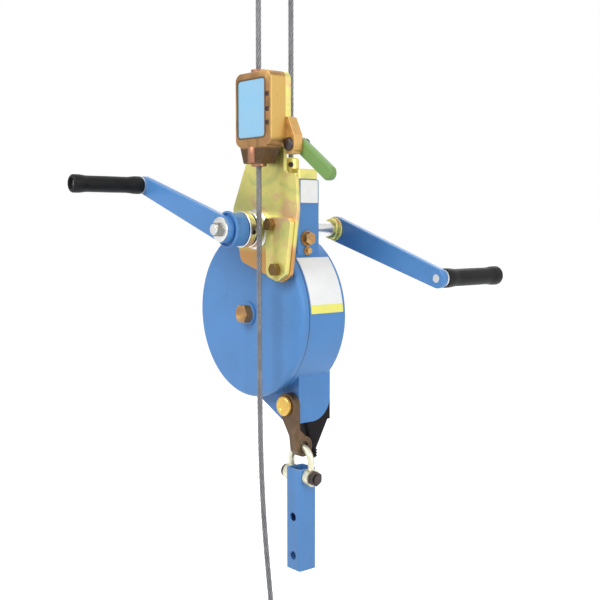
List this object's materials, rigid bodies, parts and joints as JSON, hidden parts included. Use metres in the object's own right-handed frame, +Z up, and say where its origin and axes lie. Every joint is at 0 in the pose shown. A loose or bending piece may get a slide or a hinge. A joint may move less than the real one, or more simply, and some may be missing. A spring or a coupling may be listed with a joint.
{
  "type": "scaffold hoist",
  "caption": "Hand-cranked scaffold hoist climbing a wire rope: round drum housing with twin cranks, rope grab and release lever on a carrier plate, shackle and tube below.",
  "frame": {"origin": "centre of the main rope's thimble eye, from which the hoist hangs", "axes": "+Z up along the main rope, +Y along the drum's axle from the round cover to the back, +X from the drum's axle towards the rope"},
  "size_m": [0.4667, 0.4901, 1.0235],
  "materials": {
    "blue_paint": "gloss enamel",
    "yellow_zinc": "yellow zinc plating",
    "bronze_zinc": "dark yellow zinc plating",
    "bright_steel": "bright zinc plating",
    "dark_steel": "blackened",
    "cast_iron": "as cast, machined groove",
    "bush_bronze": "turned",
    "black_rubber": "matte",
    "black_plastic": "satin",
    "green_paint": "satin enamel",
    "blue_label": "plain film",
    "white_plate": "plain plate",
    "rope_wire": "galvanised wire"
  },
  "bodies": {
    "casing": {"rear_casing": "blue_paint", "front_cover": "blue_paint", "axle_bolt": "yellow_zinc", "carrier_plate": "yellow_zinc", "plate_bolts": "yellow_zinc", "lever_lug": "yellow_zinc", "rope_inlet": "yellow_zinc", "top_bridge": "yellow_zinc", "neck_bolts": "yellow_zinc", "hanger_pin": "yellow_zinc", "grab_body": "bronze_zinc", "cheek_plate": "bronze_zinc", "axle_washers": "bright_steel", "axle_nut": "bright_steel", "axle_sleeve": "bright_steel", "bearing_collar": "bright_steel", "plate_spacers": "bright_steel", "grab_back_plate": "bright_steel", "main_thimble": "bright_steel", "safety_thimble": "bright_steel", "rope_ferrules": "bright_steel", "roller_pin": "bright_steel", "jaw_pins": "bright_steel", "grab_screws": "dark_steel", "lever_pin": "dark_steel", "neck_bushes": "bush_bronze", "grab_bushes": "bush_bronze", "rope_boot": "black_rubber", "grab_label": "blue_label", "neck_plate": "white_plate", "drum_tag": "white_plate", "main_rope": "rope_wire", "safety_rope": "rope_wire", "eye_loops": "rope_wire", "rope_tips": "rope_wire"},
    "sheave": {"sheave": "cast_iron", "sheave_bushes": "bush_bronze", "drive_gear": "dark_steel", "gear_bolts": "bright_steel"},
    "crank": {"crank_shaft": "bright_steel", "pinion": "dark_steel", "crank_washers": "bright_steel", "crank_nuts": "bright_steel", "grip_washers": "bright_steel", "grip_spindles": "bright_steel", "left_hub": "blue_paint", "left_arm": "blue_paint", "right_hub": "yellow_zinc", "right_arm": "blue_paint"},
    "roller": {"pressure_roller": "dark_steel"},
    "left_grip": {"left_grip": "black_plastic"},
    "right_grip": {"right_grip": "black_plastic"},
    "lever": {"lever_arm": "green_paint"},
    "left_jaw": {"left_jaw": "dark_steel"},
    "right_jaw": {"right_jaw": "dark_steel"},
    "hanger": {"hanger_link": "bronze_zinc"},
    "shackle": {"shackle_bow": "yellow_zinc", "shackle_pin": "dark_steel", "shackle_nut": "dark_steel"},
    "stirrup": {"stirrup_tube": "blue_paint"}
  },
  "joints": [
    {"name": "sheave_spin", "type": "hinge", "parent": "casing", "child": "sheave", "pos_m": [-0.064, 0.0025, -0.546], "axis": [0, 1, 0], "continuous": true},
    {"name": "crank_spin", "type": "hinge", "parent": "casing", "child": "crank", "pos_m": [-0.02906, 0.0125, -0.4156], "axis": [0, 1, 0], "continuous": true},
    {"name": "roller_spin", "type": "hinge", "parent": "casing", "child": "roller", "pos_m": [-0.1503, 0.0035, -0.546], "axis": [0, 1, 0], "continuous": true},
    {"name": "left_grip_spin", "type": "hinge", "parent": "crank", "child": "left_grip", "pos_m": [-0.24793, -0.1745, -0.34491], "axis": [0, 1, 0], "continuous": true},
    {"name": "right_grip_spin", "type": "hinge", "parent": "crank", "child": "right_grip", "pos_m": [0.18981, 0.1915, -0.48629], "axis": [0, 1, 0], "continuous": true},
    {"name": "lever_lift", "type": "hinge", "parent": "casing", "child": "lever", "pos_m": [0.06, -0.0312, -0.294], "axis": [0, -1, 0], "range_deg": [0, 35]},
    {"name": "left_jaw_open", "type": "hinge", "parent": "casing", "child": "left_jaw", "pos_m": [-0.012, -0.0675, -0.241], "axis": [0, 1, 0], "range_deg": [0, 14]},
    {"name": "right_jaw_open", "type": "hinge", "parent": "casing", "child": "right_jaw", "pos_m": [0.028, -0.0675, -0.241], "axis": [0, -1, 0], "range_deg": [0, 14]},
    {"name": "hanger_swing", "type": "hinge", "parent": "casing", "child": "hanger", "pos_m": [0.011, -0.0145, -0.682], "axis": [0, 1, 0], "range_deg": [-20, 20]},
    {"name": "shackle_swing", "type": "hinge", "parent": "hanger", "child": "shackle", "pos_m": [0.023, 0.0005, -0.74506], "axis": [1, 0, 0], "range_deg": [-6, 6]},
    {"name": "stirrup_swing", "type": "hinge", "parent": "shackle", "child": "stirrup", "pos_m": [0.023, 0.0005, -0.789], "axis": [1, 0, 0], "range_deg": [-6, 6]}
  ],
  "couplings": [
    {"joint": "crank_spin", "follows": "sheave_spin", "ratio": -5},
    {"joint": "roller_spin", "follows": "sheave_spin", "ratio": -3.7778},
    {"joint": "left_jaw_open", "follows": "lever_lift", "ratio": 0.4},
    {"joint": "right_jaw_open", "follows": "lever_lift", "ratio": 0.4}
  ]
}
